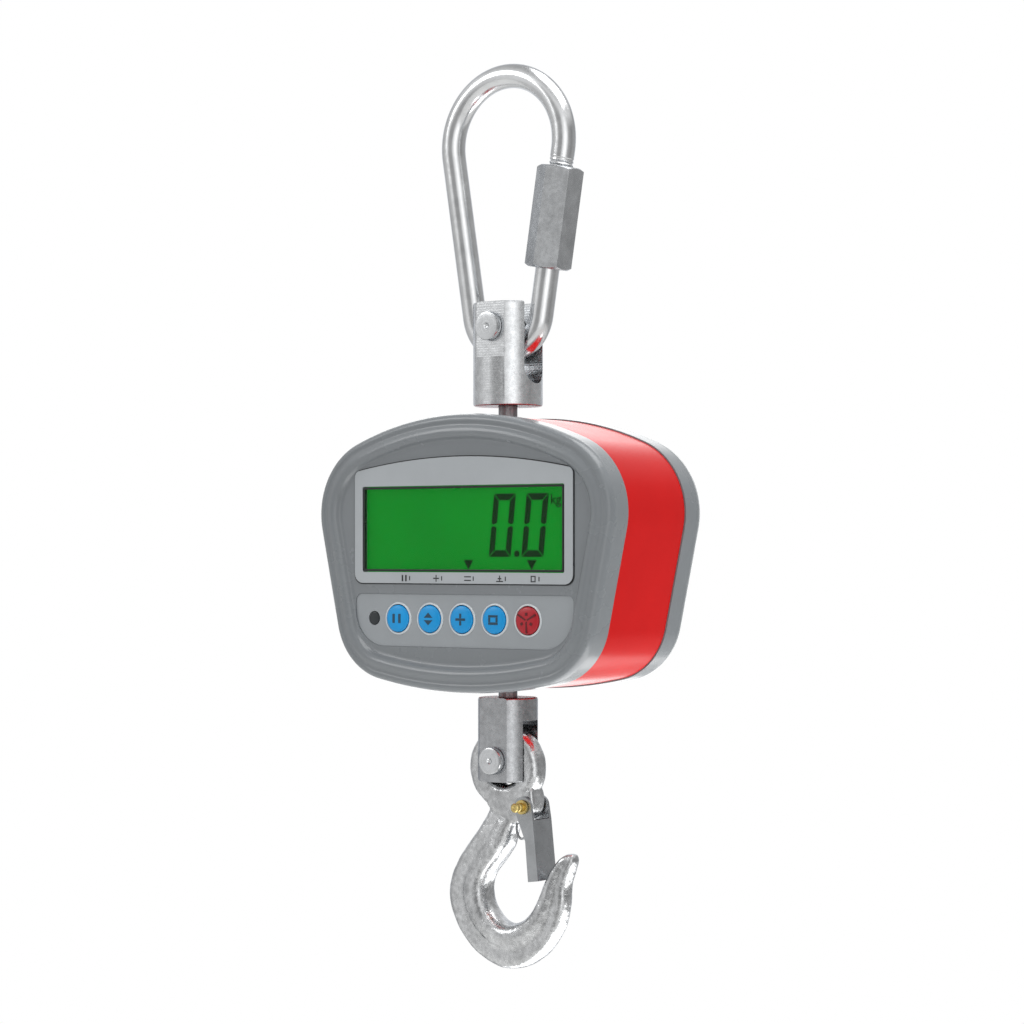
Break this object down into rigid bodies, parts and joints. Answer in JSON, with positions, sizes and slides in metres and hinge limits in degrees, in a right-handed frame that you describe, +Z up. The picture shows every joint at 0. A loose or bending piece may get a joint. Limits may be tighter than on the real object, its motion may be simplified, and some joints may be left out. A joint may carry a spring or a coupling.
{
  "type": "crane scale",
  "caption": "Hanging digital crane scale with a threaded quick link, swivelling clevises, a display and keys in a rounded case, and a safety hook with a spring latch.",
  "frame": {"origin": "the point on the inside of the quick link's upper bend where the scale hangs", "axes": "+Z up along the hanging chain, -Y the way the display faces, +X to the display's right side"},
  "size_m": [0.1476, 0.071, 0.3763],
  "materials": {
    "zinc_plate": "bright zinc plate, mottled",
    "dark_steel": "plain steel",
    "yellow_zinc": "yellow zinc plate",
    "grey_shell": "fine satin moulded plastic",
    "red_case": "satin red enamel",
    "silver_film": "printed polyester film",
    "keypad_film": "printed membrane",
    "clear_window": "clear window",
    "green_lcd": "green backlit liquid crystal panel",
    "white_diffuser": "moulded diffuser",
    "blue_key": "satin rubber-tipped key",
    "red_key": "satin rubber-tipped key",
    "black_plastic": "moulded plastic",
    "circuit_board": "solder mask",
    "cell_alloy": "milled alloy",
    "battery_wrap": "shrink wrap"
  },
  "bodies": {
    "link": {"quick_link": "zinc_plate"},
    "sleeve": {"link_sleeve": "zinc_plate"},
    "upper_clevis": {"top_clevis": "zinc_plate", "top_clevis_pin": "zinc_plate", "top_pin_clip": "dark_steel"},
    "upper_stud": {"top_stud": "dark_steel", "top_stud_nut": "dark_steel"},
    "case": {"front_shell": "grey_shell", "case_band": "red_case", "rear_shell": "grey_shell", "battery_door": "grey_shell", "dc_jack": "black_plastic", "display_overlay": "silver_film", "display_window": "clear_window", "lcd_panel": "green_lcd", "lcd_backlight": "white_diffuser", "keypad_film": "keypad_film", "sensor_window": "black_plastic", "infrared_receiver": "black_plastic", "main_board": "circuit_board", "buzzer": "black_plastic", "load_cell": "cell_alloy", "cell_bracket": "dark_steel", "battery_pack": "battery_wrap", "load_cell_cable": "black_plastic", "case_screw_1": "dark_steel", "case_screw_2": "dark_steel", "case_screw_3": "dark_steel", "case_screw_4": "dark_steel", "door_screw_1": "dark_steel", "door_screw_2": "dark_steel", "board_screw_1": "dark_steel", "board_screw_2": "dark_steel", "board_screw_3": "dark_steel", "board_screw_4": "dark_steel", "bracket_screw_1": "dark_steel", "bracket_screw_2": "dark_steel", "key_switch_1": "black_plastic", "key_switch_2": "black_plastic", "key_switch_3": "black_plastic", "key_switch_4": "black_plastic", "key_switch_5": "black_plastic"},
    "lower_stud": {"bottom_stud": "dark_steel", "bottom_stud_nut": "dark_steel"},
    "lower_clevis": {"bottom_clevis": "zinc_plate", "bottom_clevis_pin": "zinc_plate", "bottom_pin_clip": "dark_steel"},
    "hook": {"hook": "zinc_plate", "latch_pin": "yellow_zinc", "latch_spring": "dark_steel"},
    "latch": {"safety_latch": "zinc_plate"},
    "key_1": {"key_1": "blue_key"},
    "key_2": {"key_2": "blue_key"},
    "key_3": {"key_3": "blue_key"},
    "key_4": {"key_4": "blue_key"},
    "key_5": {"key_5": "red_key"}
  },
  "joints": [
    {"name": "link_hinge", "type": "hinge", "parent": "link", "child": "upper_clevis", "pos_m": [0, 0, -0.0928], "axis": [0, 1, 0], "range_deg": [-40, 40]},
    {"name": "sleeve_travel", "type": "slide", "parent": "link", "child": "sleeve", "axis": [-0.158, 0, -0.9874], "range_m": [0, 0.0135]},
    {"name": "upper_swivel", "type": "hinge", "parent": "upper_clevis", "child": "upper_stud", "pos_m": [0, 0, -0.1252], "axis": [0, 0, 1], "continuous": true},
    {"name": "upper_tilt", "type": "hinge", "parent": "upper_stud", "child": "case", "pos_m": [0, 0, -0.1679], "axis": [1, 0, 0], "range_deg": [-6, 6]},
    {"name": "lower_tilt", "type": "hinge", "parent": "case", "child": "lower_stud", "pos_m": [0, 0, -0.2179], "axis": [1, 0, 0], "range_deg": [-5, 5]},
    {"name": "lower_swivel", "type": "hinge", "parent": "lower_stud", "child": "lower_clevis", "pos_m": [0, 0, -0.2589], "axis": [0, 0, 1], "continuous": true},
    {"name": "hook_hinge", "type": "hinge", "parent": "lower_clevis", "child": "hook", "pos_m": [0, 0, -0.2829], "axis": [0, 1, 0], "range_deg": [-55, 55]},
    {"name": "latch_hinge", "type": "hinge", "parent": "hook", "child": "latch", "pos_m": [0.01211, 0, -0.29846], "axis": [0, 1, 0], "range_deg": [0, 35], "stiffness_Nm_per_rad": 0.08, "springref_deg": -40.11, "deforming": ["latch_spring"]},
    {"name": "key_1_press", "type": "slide", "parent": "case", "child": "key_1", "axis": [0, 1, 0], "range_m": [0, 0.001], "stiffness_N_per_m": 1200, "springref_m": -0.0004},
    {"name": "key_2_press", "type": "slide", "parent": "case", "child": "key_2", "axis": [0, 1, 0], "range_m": [0, 0.001], "stiffness_N_per_m": 1200, "springref_m": -0.0004},
    {"name": "key_3_press", "type": "slide", "parent": "case", "child": "key_3", "axis": [0, 1, 0], "range_m": [0, 0.001], "stiffness_N_per_m": 1200, "springref_m": -0.0004},
    {"name": "key_4_press", "type": "slide", "parent": "case", "child": "key_4", "axis": [0, 1, 0], "range_m": [0, 0.001], "stiffness_N_per_m": 1200, "springref_m": -0.0004},
    {"name": "key_5_press", "type": "slide", "parent": "case", "child": "key_5", "axis": [0, 1, 0], "range_m": [0, 0.001], "stiffness_N_per_m": 1200, "springref_m": -0.0004}
  ]
}
